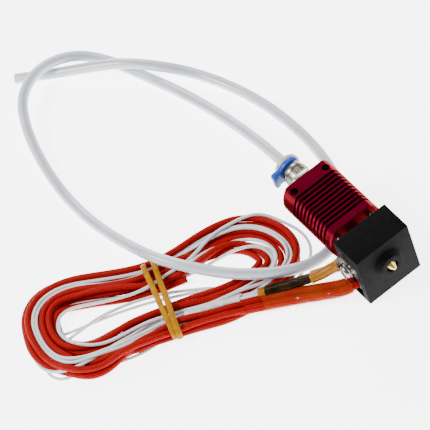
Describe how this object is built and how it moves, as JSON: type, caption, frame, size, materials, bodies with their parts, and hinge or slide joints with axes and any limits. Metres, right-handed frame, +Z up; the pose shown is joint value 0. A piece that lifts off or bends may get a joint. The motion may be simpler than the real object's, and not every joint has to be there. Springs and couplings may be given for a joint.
{
  "type": "hotend assembly",
  "caption": "Bowden hotend: finned heatsink with push-in fitting, nozzle block in a silicone sock, feed tube and tied lead hank.",
  "frame": {"origin": "centre of the hotend's box at its lowest face, without the tube and the leads; the hotend lies on its back", "axes": "+Z up, out of the heatsink's front face; +Y along the filament axis towards the nozzle; +X towards the side the leads leave"},
  "size_m": [0.1297, 0.1783, 0.0243],
  "materials": {
    "anodised": "crimson anodised, satin, milled",
    "nickel": "nickel-plated brass, turned and knurled",
    "collet": "light warm grey moulded plastic",
    "clip": "blue moulded plastic, satin",
    "o_ring": "black rubber",
    "steel": "plain steel, machined",
    "tube": "milky translucent fluoropolymer, smooth",
    "brass": "turned brass",
    "block": "bare milled aluminium",
    "silicone": "matte black silicone",
    "red_braid": "red braided fibreglass sleeving",
    "white_lead": "white insulation, satin",
    "film": "amber polyimide film, glossy, translucent",
    "shrink": "dark shrink tube under amber film",
    "rubber_band": "amber rubber, slightly translucent",
    "bead": "glass bead"
  },
  "bodies": {
    "root": {"heatsink": "anodised", "fitting_body": "nickel", "fitting_o_ring": "o_ring", "ptfe_liner": "tube", "bowden_tube": "tube", "heatbreak": "steel", "heatbreak_set_screw": "steel", "block_screws": "steel", "heater_block": "block", "nozzle": "brass", "heater_cartridge": "steel", "cartridge_set_screw": "steel", "thermistor_bead": "bead", "thermistor_clamp_screw": "steel", "thermistor_clamp_washer": "steel", "heater_lead_1": "red_braid", "heater_lead_2": "red_braid", "heater_sleeve_1": "red_braid", "heater_sleeve_2": "red_braid", "heater_film": "film", "thermistor_lead_1": "white_lead", "thermistor_lead_2": "white_lead", "thermistor_film": "film", "thermistor_shrink": "shrink", "lead_hank": "red_braid", "rubber_band_1": "rubber_band", "rubber_band_2": "rubber_band"},
    "collet": {"fitting_collet": "collet", "fitting_grip_ring": "steel"},
    "clip": {"fitting_clip": "clip"},
    "sock": {"silicone_sock": "silicone"}
  },
  "joints": [
    {"name": "collet_press", "type": "slide", "parent": "root", "child": "collet", "axis": [0, 1, 0], "range_m": [0, 0.0005]},
    {"name": "clip_slide", "type": "slide", "parent": "collet", "child": "clip", "axis": [1, 0, 0], "range_m": [0, 0.012]},
    {"name": "sock_pull_off", "type": "slide", "parent": "root", "child": "sock", "axis": [0, 1, 0], "range_m": [0, 0.018]}
  ]
}
